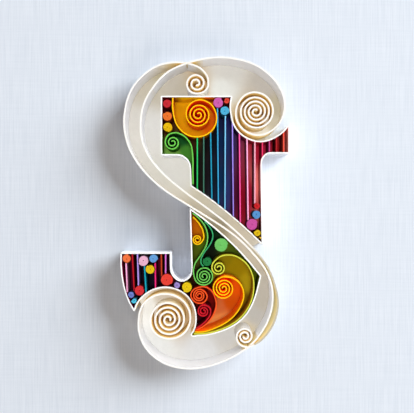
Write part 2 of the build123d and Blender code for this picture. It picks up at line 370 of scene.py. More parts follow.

# %% [markdown]
# ## The colours deep in a cell
# Inside a rim the bright strips throw their colours on the sheet below and on the rim's inner face, and
# the narrow gaps lie in shade, so these two run softly from one colour into the next. That thrown colour
# and shade are painted on here. A painter would lay dabs of colour and blend them. This does the same:
# each dab has a place, and its share falls off with the distance from it. The floors use it for their own
# colours mixed with this painted light and shade, the rims' inner faces for painted thrown colour, and
# the ivory ground for painted light and shade: bright in the open and tan under the rolls.


# %% Node group: dabs of colour
# A dab's share falls off with its squared distance in millimetres, raised to this power. The softening
# is added first, and keeps the share finite at the dab's own place.
dab_softening = 0.3
dab_power = -2.0


def build_dabs(name, dabs, along_y, strength):
    """A group that blends dabs of colour. A small along_y draws the dabs out into upright bands."""
    group, _, end = new_group(name, [], [("Colour", "NodeSocketColor")])
    where = add_node(group, "ShaderNodeTexCoord").outputs["Object"]
    share_sum = 0.0
    colour_sum = (0.0, 0.0, 0.0)
    for x, y, *colour in dabs:
        away = vector_of(group, "SUBTRACT", where, (x * MM, y * MM, 0.0))
        away = vector_of(group, "MULTIPLY", away, (1 / MM, along_y / MM, 0.0))
        squared = add_node(group, "ShaderNodeVectorMath", operation="DOT_PRODUCT")
        group.links.new(away, squared.inputs[0])
        group.links.new(away, squared.inputs[1])
        softened = math_of(group, "ADD", squared.outputs["Value"], dab_softening)
        share = math_of(group, "POWER", softened, dab_power)
        share_sum = math_of(group, "ADD", share, share_sum)
        shared = vector_of(group, "SCALE", paint(colour, strength)[:3], share)
        colour_sum = vector_of(group, "ADD", shared, colour_sum)
    blended = vector_of(group, "SCALE", colour_sum, math_of(group, "DIVIDE", 1.0, share_sum))
    group.links.new(blended, end.inputs["Colour"])
    return group


def dabbed(name, dabs, along_y=1.0, edge=None, strength=1.0):
    """Paper whose face takes the blended dabs, all over or up to its white cut edge."""
    material = paper(name, (1.0, 1.0, 1.0, 1.0), (1.0, 1.0, 1.0, 1.0), shine=0.05)
    tree = material.node_tree
    stock = stock_of(tree)
    cell = add_node(tree, "ShaderNodeGroup")
    cell.node_tree = build_dabs(name + "_dabs", dabs, along_y, strength)
    tree.links.new(cell.outputs["Colour"], stock.inputs["Face Colour"])
    feed(tree, stock.inputs["Edge Colour"], edge or cell.outputs["Colour"])
    return material


# %% Dabs of the upper cell
# Each dab is its X and Y in millimetres, and its red, green and blue as an eye would name them.
# The cell's own colours, mixed with painted shade in the gaps and the colour the strips throw, painted on
# the sheet and the rim's inner face.
upper_dabs = [
    # Left end of the head, and round the green scroll
    (-15.5, 38.6, 110, 20, 30), (-15.0, 31.0, 95, 20, 20), (-13.5, 26.0, 70, 30, 15),
    (-9.0, 25.5, 60, 20, 15), (-5.5, 24.5, 55, 30, 12), (-15.9, 21.0, 90, 120, 45),
    (-11.0, 18.9, 90, 130, 55), (-6.0, 12.0, 15, 20, 10), (-4.3, 14.0, 15, 14, 8),
    # Gaps of the stem, from left to right
    (-2.3, 16.0, 28, 26, 22), (0.0, 14.0, 28, 22, 28), (2.9, 12.0, 20, 34, 46),
    (-0.4, 24.0, 18, 14, 18), (2.7, 25.0, 12, 22, 32), (5.3, 25.0, 12, 42, 86),
    (7.9, 25.0, 38, 50, 104), (5.2, 10.0, 14, 50, 92), (7.8, 6.0, 50, 55, 115),
    (10.6, 4.0, 86, 20, 55), (13.2, 2.0, 150, 9, 34), (16.0, 4.0, 184, 20, 58),
    (19.0, 21.0, 190, 30, 60), (19.0, 9.0, 255, 140, 136), (19.0, -3.0, 240, 112, 110),
    (18.6, -7.0, 70, 15, 25),
    # Top of the head, and round its coils
    (-7.0, 39.4, 255, 235, 10), (-3.0, 39.4, 255, 225, 10), (1.0, 39.4, 225, 115, 7),
    (5.5, 38.8, 110, 15, 30), (8.4, 38.0, 130, 15, 30), (5.2, 31.5, 15, 30, 70),
    (8.3, 33.0, 30, 32, 95),
    # Right shoulder
    (21.2, 22.0, 176, 30, 64), (23.7, 22.0, 160, 24, 48), (24.9, 22.0, 170, 24, 40),
    (26.8, 22.0, 160, 22, 26), (29.0, 24.0, 255, 150, 140),
]
upper_floor_paper = dabbed("upper_floor_paper", upper_dabs, along_y=0.3)
print("dabs in the upper cell:", len(upper_dabs))

# %% Dabs of the lower cell
# The cell's own colours, mixed with painted shade in the gaps and the colour the strips throw, painted on
# the sheet and the rim's inner face.
lower_dabs = [
    # Gaps of the hook, from left to right
    (-30.2, -24.0, 130, 5, 60), (-28.0, -24.0, 76, 6, 36), (-26.0, -24.0, 60, 4, 32),
    (-23.7, -24.0, 30, 10, 30), (-21.5, -26.0, 18, 14, 26), (-19.5, -27.0, 18, 12, 28),
    (-17.4, -22.0, 92, 4, 32), (-15.7, -20.0, 50, 12, 38), (-13.8, -19.0, 56, 6, 34),
    # The bowl, from its coils up to its tip and down along its right side
    (-9.0, -29.5, 70, 14, 14), (-5.5, -27.5, 50, 20, 8), (-1.5, -9.0, 10, 18, 10),
    (1.5, -12.0, 8, 18, 14), (1.0, -20.0, 14, 20, 10), (3.0, -9.0, 14, 46, 20),
    (8.0, -15.5, 78, 98, 20), (12.5, -18.0, 74, 88, 10), (17.8, -25.5, 76, 92, 8),
    (17.5, -31.0, 64, 72, 6), (11.0, -41.0, 92, 96, 26), (-1.5, -27.5, 26, 16, 6),
    # The bowl's left side and its lower end
    (-5.0, -18.0, 76, 90, 20), (-5.6, -8.0, 170, 90, 10), (-4.6, -38.0, 70, 6, 16),
    (-4.6, -46.0, 150, 140, 16), (0.5, -45.6, 190, 160, 20),
]
lower_floor_paper = dabbed("lower_floor_paper", lower_dabs, along_y=0.5)
print("dabs in the lower cell:", len(lower_dabs))

# %% Dabs of the ivory ground
# Painted light and shade on the ivory card: bright in the open, greyer near the walls, tan under the rolls
# and in the spine's gap.
ground_dabs = [
    # The band and the upper bowl
    (-27.6, 28.9, 217, 214, 207), (-22.9, 46.8, 201, 194, 178), (-17.8, 49.8, 188, 180, 154),
    (-21.2, 29.7, 220, 219, 215), (-14.0, 13.0, 214, 213, 207), (-15.7, 48.0, 204, 198, 184),
    (-13.6, 47.4, 199, 192, 179), (-9.5, 43.0, 196, 188, 172), (7.6, 52.3, 213, 211, 206),
    (5.3, 44.0, 230, 232, 229), (22.7, 47.4, 193, 187, 179), (27.8, 37.0, 189, 181, 159),
    (26.2, 30.6, 204, 199, 184), (21.8, 26.6, 236, 236, 230), (15.9, 25.6, 230, 218, 208),
    (11.8, 29.4, 201, 192, 162), (17.6, 34.2, 190, 154, 92), (-3.8, 44.3, 200, 166, 112),
    # The lower bowl, and the ends of the band
    (-22.6, -36.4, 236, 236, 234), (-23.9, -43.5, 238, 238, 236), (-17.4, -33.6, 212, 203, 191),
    (-18.9, -54.0, 230, 231, 229), (-1.9, -55.4, 224, 225, 226), (8.6, -48.6, 210, 208, 205),
    (16.3, -52.4, 206, 200, 184), (18.4, -40.8, 192, 188, 182), (11.0, -42.5, 214, 210, 203),
    (20.8, -36.8, 192, 184, 171), (14.4, -10.8, 208, 202, 190), (4.4, -8.0, 166, 160, 138),
    (5.5, -0.5, 206, 204, 194), (10.5, -5.5, 208, 203, 191), (-13.9, -40.8, 190, 154, 92),
    (13.7, -46.8, 216, 202, 172),
]
ground_card = dabbed("ground_card", ground_dabs, strength=0.78)
print("dabs on the ground:", len(ground_dabs))

# %% Painted thrown colour on the rims' inner faces
# The strips' thrown colour is painted brighter here, because these faces stand in shade.
bounce_paint_look = {"edge": ivory_edge, "strength": 1.8}
upper_rim_painted_bounce = dabbed("upper_rim_painted_bounce", upper_dabs, along_y=0.3, **bounce_paint_look)
lower_rim_painted_bounce = dabbed("lower_rim_painted_bounce", lower_dabs, along_y=0.5, **bounce_paint_look)
print("linings:", upper_rim_painted_bounce.name, lower_rim_painted_bounce.name)

# %% [markdown]
# ## Reading a strip's line from the frame
# Seen from above, a strip in the frame is a thin band with two long sides and two short ends. The code
# walks round the band, finds the two ends by their length and their square corners, and takes the points
# half-way between the two sides. That is the line along which the real strip was bent.


# %% Outlines in the frame
# Corners of the frame's loose triangles that are this close are one corner.
frame_merge = 0.002 * MM
# The play in measuring a height or a thickness in the frame.
play = 0.01 * MM
# A strip's short end has a corner of more than this many degrees at both sides.
square_corner = 80
# A face whose normal rises by more than this lies flat.
flat_limit = 0.9


def outline_loops(node, level):
    """The closed outlines of a node's flat faces at one height, as lists of points in order."""
    shape = bmesh.new()
    shape.from_mesh(frame["nodes"][node].data)
    bmesh.ops.remove_doubles(shape, verts=shape.verts, dist=frame_merge)
    follows = {}
    for edge in shape.edges:
        at_level = all(abs(vert.co.z - level) < play for vert in edge.verts)
        flat_faces = [face for face in edge.link_faces if abs(face.normal.z) > flat_limit]
        if at_level and len(flat_faces) == 1:
            first, second = edge.verts
            follows.setdefault(first, []).append(second)
            follows.setdefault(second, []).append(first)
    loops = []
    while follows:
        start = next(iter(follows))
        loop = [start]
        last, here = None, start
        while True:
            ahead = [vert for vert in follows.pop(here) if vert is not last and vert in follows]
            if not ahead:
                break
            last, here = here, ahead[0]
            loop.append(here)
        loops.append([Vector((vert.co.x, vert.co.y)) for vert in loop])
    shape.free()
    return loops


def turn_at(loop, i):
    """How sharply the outline turns at a point, in degrees."""
    before = loop[i] - loop[i - 1]
    after = loop[(i + 1) % len(loop)] - loop[i]
    return abs(degrees(before.angle_signed(after)))


def middle_line(node, thickness, level):
    """The line half-way between a strip's two long sides."""
    loop = max(outline_loops(node, level), key=len)
    count = len(loop)
    ends = []
    for i in range(count):
        j = (i + 1) % count
        fits = abs((loop[j] - loop[i]).length - thickness) < play
        if fits and min(turn_at(loop, i), turn_at(loop, j)) > square_corner:
            ends.append(i)
    first, second = ends
    left = [loop[i % count] for i in range(first + 1, second + 1)]
    right = [loop[i % count] for i in range(second + 1, first + 1 + count)][::-1]
    return [(a + b) / 2 for a, b in zip(left, right)]


def rim_line(node):
    """The middle of a rim: half-way between its outer and inner outlines."""
    first, second = sorted(outline_loops(node, ribbon_top), key=len)[-2:]
    line = []
    for corner in first:
        nearest = min(second, key=lambda other: (other - corner).length)
        line.append((corner + nearest) / 2)
    return line


# %% [markdown]
# ## Smoothing a line
# A curve with automatic handles runs smoothly through every point that it is given, as paper does when it
# is bent by hand. Turned into a mesh, it gives the points of the smooth line, in order. Where a rim is
# folded to a long straight side, a point set close to each end of the side keeps the side straight.


# %% Smooth points
# Points of a smooth curve that are this close are one point.
point_merge = 0.005 * MM


def straight_sided(line, side=3.0 * MM, lead=0.15 * MM):
    """Adds a point close to both ends of each long side of a closed line."""
    fuller = []
    for i, here in enumerate(line):
        after = line[(i + 1) % len(line)]
        fuller.append(here)
        run = after - here
        if run.length > side:
            fuller.append(here + run.normalized() * lead)
            fuller.append(after - run.normalized() * lead)
    return fuller


def smoothed(line, closed=False, fineness=4):
    """The points of a smooth curve through the line's points."""
    bpy.ops.object.select_all(action="DESELECT")
    bpy.ops.curve.primitive_bezier_curve_add(location=(0, 0, 0))
    bend = bpy.context.object
    bend.data.splines.clear()
    spline = bend.data.splines.new("BEZIER")
    spline.bezier_points.add(len(line) - 1)
    for point, place in zip(spline.bezier_points, line):
        point.co = (place.x, place.y, 0.0)
        point.handle_left_type = "AUTO"
        point.handle_right_type = "AUTO"
    spline.use_cyclic_u = closed
    spline.resolution_u = fineness
    bend.data.dimensions = "2D"
    bend.data.fill_mode = "NONE"
    pick(bend)
    bpy.ops.object.convert(target="MESH")
    bend = bpy.context.object
    points = []
    for vert in bend.data.vertices:
        place = Vector((vert.co.x, vert.co.y))
        if not points or (place - points[-1]).length > point_merge:
            points.append(place)
    bpy.ops.object.delete()
    if closed and (points[0] - points[-1]).length < point_merge:
        points.pop()
    return points


lines = {
    "ribbon_outer": smoothed(middle_line("ribbon_outer", ribbon_thickness, ribbon_top)),
    "ribbon_inner": smoothed(middle_line("ribbon_inner", ribbon_thickness, board_top)),
    "rim_upper": smoothed(straight_sided(rim_line("rim_upper")), closed=True),
    "rim_lower": smoothed(straight_sided(rim_line("rim_lower")), closed=True),
}
print({name: len(line) for name, line in lines.items()}, "points")


# %% [markdown]
# ## Standing a strip on edge
# A strip is made as a quiller makes it. The line is drawn as a flat curve, the curve is extruded into a
# band as tall as the strip, and the band gets the paper's thickness. A small bevel rounds the cut edges,
# which is what catches the light. A flat sheet is the same curve, closed and filled.


# %% A flat curve, made a mesh
# Points of a drawn curve that are this close are merged.
mesh_merge = 0.004 * MM


def drawn_curve(name, line, closed, filled, low, high):
    """A curve through the points, drawn flat, as tall as asked, and made a mesh."""
    bpy.ops.object.select_all(action="DESELECT")
    bpy.ops.curve.primitive_bezier_curve_add(location=(0, 0, 0))
    piece = bpy.context.object
    piece.name = name
    piece.data.splines.clear()
    spline = piece.data.splines.new("POLY")
    spline.points.add(len(line) - 1)
    for point, place in zip(spline.points, line):
        point.co = (place.x, place.y, 0.0, 1.0)
    spline.use_cyclic_u = closed
    piece.data.dimensions = "2D"
    piece.data.fill_mode = "BOTH" if filled else "NONE"
    piece.data.extrude = (high - low) / 2
    piece.location.z = (low + high) / 2
    pick(piece)
    bpy.ops.object.convert(target="MESH")
    piece = bpy.context.object
    bpy.ops.object.transform_apply(location=True, rotation=True, scale=True)
    bpy.ops.object.mode_set(mode="EDIT")
    bpy.ops.mesh.select_all(action="SELECT")
    bpy.ops.mesh.remove_doubles(threshold=mesh_merge)
    if filled:
        bpy.ops.mesh.normals_make_consistent(inside=False)
    bpy.ops.object.mode_set(mode="OBJECT")
    return piece


# %% Strips on edge, and flat sheets
# Corners sharper than the first angle are rounded, and bends gentler than the second look smooth.
sharp_corner = radians(50)
gentle_bend = radians(35)


def soften(strip, edge):
    """Rounds a strip's cut edges, this many millimetres wide, and shades its bends smooth."""
    soft = strip.modifiers.new("soft cut edge", "BEVEL")
    soft.width = edge * MM
    soft.segments = 2
    soft.limit_method = "ANGLE"
    soft.angle_limit = sharp_corner
    apply_all(strip)
    bpy.ops.object.shade_smooth_by_angle(angle=gentle_bend)


def standing_strip(name, line, thickness, low, high, closed=False, edge=0.06):
    """A band of paper on edge along a line seen from above."""
    strip = drawn_curve(name, line, closed=closed, filled=False, low=low, high=high)
    wall = strip.modifiers.new("paper thickness", "SOLIDIFY")
    wall.thickness = thickness
    wall.offset = 0.0
    wall.use_even_offset = True
    soften(strip, edge)
    return strip


def flat_sheet(name, outline, low, high):
    """A thin sheet cut to an outline."""
    return drawn_curve(name, outline, closed=True, filled=True, low=low, high=high)


def finish_piece(piece, material, slot, *nodes):
    """Gives a finished piece its paper and its place in the part."""
    piece.data.materials.clear()
    piece.data.materials.append(material)
    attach(piece, "root")
    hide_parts(*nodes)


# %% [markdown]
# ## Part of a line
# Sheets are cut along the strips that stand on them. This takes the part of a line that runs from the
# point nearest one place to the point nearest another. On a closed line it takes the shorter way round.


# %% A stretch of a line
def nearest_on(line, place):
    """The number of the line's point that is nearest to a place."""
    return min(range(len(line)), key=lambda i: (line[i] - place).length)


def stretch(line, start, end, closed=False):
    """The line's points from the one nearest the start to the one nearest the end."""
    first, last = (nearest_on(line, place) for place in ruler(start, end))
    if not closed:
        return line[first : last + 1] if first <= last else line[last : first + 1][::-1]
    ahead = (last - first) % len(line)
    back = (first - last) % len(line)
    if ahead <= back:
        return [line[(first + step) % len(line)] for step in range(ahead + 1)]
    return [line[first - step] for step in range(back + 1)]


# %% [markdown]
# ## The two ribbons
# Each ribbon is one long strip of ivory card. They cross twice. There each one is slit to half its
# height, as card dividers are, so that both stand on the board: the outer ribbon from below, the inner
# one from above. The slit is cut with a short, thicker piece of the other ribbon.

# %% Make and slit the ribbons
crossings = [(-7.8, 51.4), (16.4, -49.6)]
slit_reach = 2.5 * MM
slit_play = 0.2 * MM
half_height = (board_top + ribbon_top) / 2


def slit(ribbon, other_line, low, high):
    """Cuts the other ribbon's way through this one, between two heights."""
    for middle in ruler(*crossings):
        first = last = nearest_on(other_line, middle)
        while (other_line[first] - middle).length < slit_reach:
            first -= 1
        while (other_line[last] - middle).length < slit_reach:
            last += 1
        width = ribbon_thickness + slit_play
        cutter = standing_strip("slit", other_line[first : last + 1], width, low, high)
        cut = ribbon.modifiers.new("slit", "BOOLEAN")
        cut.operation = "DIFFERENCE"
        cut.solver = "EXACT"
        cut.object = cutter
        apply_all(ribbon)
        pick(cutter)
        bpy.ops.object.delete()


made_ribbons = {}
for node in ("ribbon_outer", "ribbon_inner"):
    made_ribbons[node] = standing_strip(
        "quilled_" + node, lines[node], ribbon_thickness, board_top, ribbon_top
    )
slit(made_ribbons["ribbon_outer"], lines["ribbon_inner"], board_top - MM, half_height)
slit(made_ribbons["ribbon_inner"], lines["ribbon_outer"], half_height, ribbon_top + MM)
for node, ribbon in made_ribbons.items():
    finish_piece(ribbon, ivory_card, "ivory_card", node)
    print(node, "has", len(ribbon.data.polygons), "faces")

# %% [markdown]
# ## The rims
# A rim is folded from one strip and closed on itself. Its outside is ivory. Its inner faces get a second
# material that paints light on them: the colours the strips of its cell throw there, painted brighter
# where those faces stand in shade. Which faces look inwards is a question for geometry: a small step away
# from such a face lands inside the rim's line.


# %% Make the rims, and paint thrown colour on their inner faces
# A face whose normal rises by less than this belongs to a wall, and by more to a cut edge.
wall_limit = 0.5


def is_inside(place, outline):
    """True if a place lies inside a closed outline."""
    inside = False
    for i, here in enumerate(outline):
        before = outline[i - 1]
        if (here.y > place.y) != (before.y > place.y):
            across = (before.x - here.x) * (place.y - here.y) / (before.y - here.y) + here.x
            if place.x < across:
                inside = not inside
    return inside


for node, inner_paint in (("rim_upper", upper_rim_painted_bounce), ("rim_lower", lower_rim_painted_bounce)):
    rim = standing_strip(
        "quilled_" + node, lines[node], rim_thickness, board_top, ribbon_top, closed=True
    )
    finish_piece(rim, ivory_card, "ivory_card", node)
    rim.data.materials.append(inner_paint)
    inner_faces = 0
    for polygon in rim.data.polygons:
        step_away = (polygon.center + polygon.normal * rim_thickness).xy
        if abs(polygon.normal.z) < wall_limit and is_inside(step_away, lines[node]):
            polygon.material_index = 1
            inner_faces += 1
    print(node, "has", len(rim.data.polygons), "faces,", inner_faces, "of them lined")

# %% [markdown]
# ## How narrow is the gap?
# A ray goes out from the middle of each ivory face, straight away from it. The sooner it meets another
# ivory wall, the narrower is the gap in front of that face. The answer is kept on the face itself, and
# sets how much painted gap tone the face gets.

# %% Measure the gaps
narrow_gap = 1.0 * MM
wide_gap = 5.5 * MM
# Each ray starts this far in front of its own face.
ray_start = 0.02 * MM


def measure_gaps(strips):
    """Stores on each face a share from 0, open, to 1, in a narrow gap."""
    walls = bmesh.new()
    for strip in strips:
        walls.from_mesh(strip.data)
    tree = BVHTree.FromBMesh(walls)
    walls.free()
    for strip in strips:
        narrowness = strip.data.attributes.new("narrowness", "FLOAT", "FACE")
        for polygon in strip.data.polygons:
            start = polygon.center + polygon.normal * ray_start
            distance = tree.ray_cast(start, polygon.normal, wide_gap)[3]
            if distance is not None:
                share = min((wide_gap - distance) / (wide_gap - narrow_gap), 1.0)
                narrowness.data[polygon.index].value = share * share
        inside = sum(entry.value > 0.5 for entry in narrowness.data)
        print(strip.name, "has", inside, "faces in narrow gaps")


measure_gaps(pieces_named("quilled_ribbon", "quilled_rim"))

# %% [markdown]
# ## Light through the card
# At the lower right the outer ribbon stands alone against the window, close to the inner one. Light comes
# through the thin card there, so its near face gets a painted glow in a pale straw colour, and its cut
# edge painted shade. The faces of that stretch are marked, and the mark fades out where the ribbons come
# together again.

# %% Mark the stretch with the window behind it
to_window = Vector((34, 22, 18)).normalized()
lower_roll = Vector((13.5, -46.6)) * MM
lower_roll_reach = 4.3 * MM
backlit_low = -49.8 * MM
fade_start, fade_end = -20.0 * MM, -12.0 * MM

backlit_ribbon = made_ribbons["ribbon_outer"]
backlit = backlit_ribbon.data.attributes.new("backlit", "FLOAT", "FACE")
for polygon in backlit_ribbon.data.polygons:
    place = polygon.center.xy
    on_stretch = place.x > lower_roll.x and place.y > backlit_low
    off_roll = (place - lower_roll).length > lower_roll_reach
    turned_away = polygon.normal.z > wall_limit or polygon.normal.dot(to_window) < 0
    if on_stretch and off_roll and turned_away:
        share = (fade_end - place.y) / (fade_end - fade_start)
        backlit.data[polygon.index].value = max(0.0, min(share, 1.0))
print(backlit_ribbon.name, "has", sum(entry.value > 0 for entry in backlit.data), "backlit faces")

# %% [markdown]
# ## In the shade of a roll
# The outer turns of the two small rolls look out on open ground. The light that strips pass on to one
# another hardly reaches them, so their faces are painted a little greyer than the rest of the ribbon, as
# painted shade. Their faces are marked too. They are found by their distance from the roll's centre, and
# by looking away from it.

# %% Mark the outer turns of the two small rolls
# Centre and outer radius of each small roll, in millimetres.
small_rolls = [((-3.9, 44.0), 4.1), ((13.5, -46.7), 2.9)]
# Shares of that radius between which the outer turn lies.
turn_begins, turn_ends = 0.8, 1.15
# A face looks away from the centre where its normal is within 60 degrees of straight out.
outwards = 0.5

for ribbon in made_ribbons.values():
    sheltered = ribbon.data.attributes.new("sheltered", "FLOAT", "FACE")
    for (x, y), radius in small_rolls:
        centre = Vector((x, y)) * MM
        for polygon in ribbon.data.polygons:
            out = polygon.center.xy - centre
            on_turn = turn_begins * radius * MM < out.length < turn_ends * radius * MM
            if on_turn and polygon.normal.xy.dot(out.normalized()) > outwards:
                sheltered.data[polygon.index].value = 1.0
    print(ribbon.name, "has", sum(entry.value > 0 for entry in sheltered.data), "sheltered faces")

# %% [markdown]
# ## The ivory ground
# Between the ribbons the ground is warmer than the linen board, and smooth. Its warm tone is partly the
# card's own and partly painted light that the ivory walls throw on it, with painted shade near the walls.
# It is cut here as three thin sheets of ivory card, along the ribbons' own lines, so that each joint lies
# hidden under a ribbon or inside a cell: the band between the ribbons, the upper bowl with its pocket,
# and the lower bowl.

# %% Cut the ground
outer, inner = lines["ribbon_outer"], lines["ribbon_inner"]
first_crossing, second_crossing = crossings

band = stretch(inner, first_crossing, second_crossing)
band += stretch(outer, second_crossing, first_crossing)
upper_bowl = stretch(outer, (17.2, 25.8), (17.0, -15.5))
upper_bowl += ruler((19.9, -13.6), (18.5, -10.0), (18.5, 22.5))
lower_bowl = stretch(inner, (-6.3, 0.2), (-24.2, -38.5))
lower_bowl += ruler((-25.9, -34.6), (-20.0, -28.0), (-13.0, -28.0))
lower_bowl += ruler((-6.5, -29.3), (-4.8, -27.0), (-4.8, -3.0))

ground_thickness = 0.05 * MM
for name, outline in (("band", band), ("upper_bowl", upper_bowl), ("lower_bowl", lower_bowl)):
    sheet = flat_sheet("ground_" + name, outline, board_top, board_top + ground_thickness)
    finish_piece(sheet, ground_card, "ivory_card")
    print("ground", name, "has", len(outline), "outline points")

# %% [markdown]
# ## The floors of the cells
# The coloured sheet in each cell is cut along the middle of its rim, so its edge is hidden in the rim's
# thickness. On it lie smaller coloured papers, each cut along the scroll that stands round it, so an amber
# scroll has an amber ground. Their colours are partly their own and partly painted: painted shade, a
# painted pool of light in the orange scroll, and the colour the scrolls throw on them; the papers inside
# the rolls carry the painted colour of the rolls' deep gaps. Each of these lies a hair above the one it
# overlaps.

# %% Lay the two coloured sheets
for node, rim, material, slot in (
    ("floor_upper", "rim_upper", upper_floor_paper, "cell_sheet_upper"),
    ("floor_lower", "rim_lower", lower_floor_paper, "cell_sheet_lower"),
):
    sheet = flat_sheet("sheet_" + node, lines[rim], board_top + ground_thickness, floor_top)
    finish_piece(sheet, material, slot, node)
    print("sheet", node, "has", len(sheet.data.polygons), "faces")

# %% Lines of the scrolls
# Each scroll's cut edge, its face in the open and in a narrow gap, and its slot. Both face tones are
# painted shade, and the narrow-gap tone also painted thrown colour.
scroll_papers = {
    "scroll_amber": ((237, 178, 2), (222, 140, 5), (242, 66, 2), "paper_amber"),
    "scroll_green": ((99, 183, 70), (62, 135, 40), (30, 100, 45), "paper_green"),
    "scroll_yellow_small": ((222, 173, 0), (200, 112, 5), (230, 120, 0), "paper_yellow"),
    "scroll_light_green": ((97, 174, 74), (42, 120, 34), (24, 80, 30), "paper_light_green"),
    "scroll_teal": ((45, 144, 88), (20, 95, 55), (20, 95, 55), "paper_sea_green"),
    "scroll_lime": ((188, 192, 58), (160, 142, 18), (150, 140, 20), "paper_lime"),
    "scroll_orange": ((232, 175, 0), (255, 150, 14), (255, 92, 0), "paper_golden"),
    "scroll_vermilion": ((216, 74, 24), (150, 26, 10), (196, 34, 12), "paper_vermilion"),
    "scroll_crimson": ((180, 20, 33), (118, 6, 24), (190, 10, 35), "paper_crimson"),
}
for node in scroll_papers:
    lines[node] = smoothed(middle_line(node, strip_thickness, strip_top))
print("scrolls:", {node: len(lines[node]) for node in scroll_papers}, "points")


# %% The first turn of a roll
def first_turn(line, start, centre):
    """The first full turn of a roll, from its outer start."""
    middle = ruler(centre)[0]
    roll = stretch(line, start, centre)
    turned = 0.0
    turn = [roll[0]]
    for before, here in zip(roll, roll[1:]):
        turned += abs((before - middle).angle_signed(here - middle))
        turn.append(here)
        if turned >= 2 * pi:
            break
    return turn


# %% Outlines of the smaller papers
upper_rim, lower_rim = lines["rim_upper"], lines["rim_lower"]

amber_ground = stretch(lines["scroll_amber"], (-12.3, 39.1), (0.9, 37.1))
amber_ground += ruler((2.2, 39.6), (-12.3, 39.6))
green_ground = stretch(lines["scroll_green"], (-5.05, 8.0), (-15.0, 23.1)) + ruler((-16.4, 24.0))
green_ground += stretch(upper_rim, (-16.4, 18.6), (-5.7, 7.4), closed=True)
yellow_ground = stretch(lines["scroll_yellow_small"], (-5.1, -3.8), (-3.5, -13.6))
yellow_ground += ruler((-5.8, -13.8), (-5.95, -3.8))
olive_ground = stretch(lines["scroll_light_green"], (-2.4, -4.8), (-4.8, -24.4))
olive_ground += ruler((-5.5, -22.0), (-5.9, -4.0))
lime_ground = stretch(lines["scroll_lime"], (-4.8, -45.75), (1.75, -22.1)) + ruler((2.3, -29.5))
orange_ground = stretch(lines["scroll_orange"], (-4.45, -45.1), (2.3, -29.5))
red_ground = stretch(lines["scroll_vermilion"], (-4.15, -44.4), (-5.8, -31.9))
red_ground += stretch(lower_rim, (-6.6, -33.2), (-5.6, -46.35), closed=True)
crimson_ground = stretch(lines["scroll_crimson"], (-3.9, -43.8), (-3.2, -37.5))
crimson_ground += stretch(lower_rim, (-4.2, -37.8), (-5.6, -46.35), closed=True)

amber_roll = first_turn(lines["scroll_amber"], (-7.5, 33.2), (-3.1, 33.0))
orange_roll = first_turn(lines["scroll_orange"], (2.3, -29.5), (6.0, -29.5))
lime_roll = first_turn(lines["scroll_lime"], (1.75, -22.1), (4.2, -22.1))
green_roll = first_turn(lines["scroll_green"], (-15.0, 23.1), (-12.4, 23.0))
print("rolls:", [len(roll) for roll in (amber_roll, orange_roll, lime_roll, green_roll)], "points")

# %% Cut and paint the smaller papers
# Each paper's outline and its dabs, from the lowest paper to the highest. The dabs paint the papers' own
# colours together with painted shade, painted light and thrown colour.
small_papers = {
    "amber_ground": (
        amber_ground,
        [
            (-10.5, 39.4, 226, 172, 5), (-7.0, 39.4, 226, 172, 5), (-10.5, 37.4, 196, 142, 3),
            (-7.0, 37.6, 198, 144, 3), (-9.0, 33.0, 198, 146, 3), (-6.0, 29.0, 196, 140, 3),
            (2.4, 30.0, 196, 92, 4),
        ],
    ),
    "amber_roll": (amber_roll, [(-3.1, 33.0, 205, 48, 2)]),
    "green_ground": (
        green_ground,
        [
            (-9.0, 25.0, 24, 84, 35), (-7.5, 21.0, 68, 132, 45), (-13.0, 19.5, 124, 174, 76),
            (-5.6, 14.0, 58, 118, 40),
        ],
    ),
    "green_roll": (green_roll, [(-12.4, 23.0, 16, 50, 24)]),
    "olive_ground": (olive_ground, [(-4.5, -16.0, 80, 92, 16), (-2.5, -15.0, 80, 104, 14)]),
    "yellow_ground": (yellow_ground, [(-4.0, -6.5, 190, 100, 4), (-3.0, -10.5, 186, 106, 5)]),
    "lime_ground": (
        lime_ground,
        [
            (7.0, -20.0, 136, 118, 4), (11.0, -22.5, 146, 123, 3), (15.6, -29.0, 168, 146, 16),
            (13.5, -35.5, 122, 90, 6), (6.0, -43.0, 130, 66, 6),
        ],
    ),
    "lime_roll": (lime_roll, [(4.2, -22.1, 96, 84, 16)]),
    "orange_ground": (
        orange_ground,
        [
            (6.0, -26.4, 190, 40, 10), (11.0, -31.0, 200, 86, 3), (9.0, -36.0, 186, 80, 4),
            (4.0, -38.0, 190, 104, 54), (5.5, -43.0, 212, 140, 72),
        ],
    ),
    "orange_roll": (orange_roll, [(6.0, -29.5, 178, 22, 8)]),
    "red_ground": (
        red_ground,
        [(2.0, -33.0, 110, 6, 6), (-4.5, -31.0, 120, 20, 8), (-1.0, -42.5, 150, 30, 20)],
    ),
    "crimson_ground": (crimson_ground, [(-1.5, -40.5, 60, 2, 16), (-4.4, -43.0, 80, 6, 18)]),
}
paper_sheet = 0.03 * MM
level = floor_top
for name, (outline, dabs) in small_papers.items():
    sheet = flat_sheet("cut_" + name, outline, floor_top, level + paper_sheet)
    slot = "cell_sheet_upper" if outline[0].y > 0 else "cell_sheet_lower"
    finish_piece(sheet, dabbed("paper_" + name, dabs), slot)
    level += paper_sheet / 2
print("smaller papers:", len(small_papers))

# %% [markdown]
# ## The scrolls
# A scroll is a strip whose end is rolled up loosely. Its cut edge is bright, and its face is painted a
# deeper tone of the same colour, as painted shade.

# %% Make the scrolls
for node, (edge, face, painted_gap_face, slot) in scroll_papers.items():
    scroll = standing_strip("quilled_" + node, lines[node], strip_thickness, floor_top, strip_top)
    material = gap_shaded_paper(node, paint(face), paint(painted_gap_face), paint(edge))
    let_light_through(material, share=0.12, reach=1.0, depth=(1.0, 1.0, 1.0))
    finish_piece(scroll, material, slot, node)
measure_gaps(pieces_named("quilled_scroll"))
print("scrolls:", len(scroll_papers))

# %% [markdown]
# ## The tight coils
# A tight coil is a strip wound as closely as it will go, and glued. Seen from above it is a disc with a
# fine spiral on it and a tiny eye where the winding tool sat. Each one is wound here layer by layer.

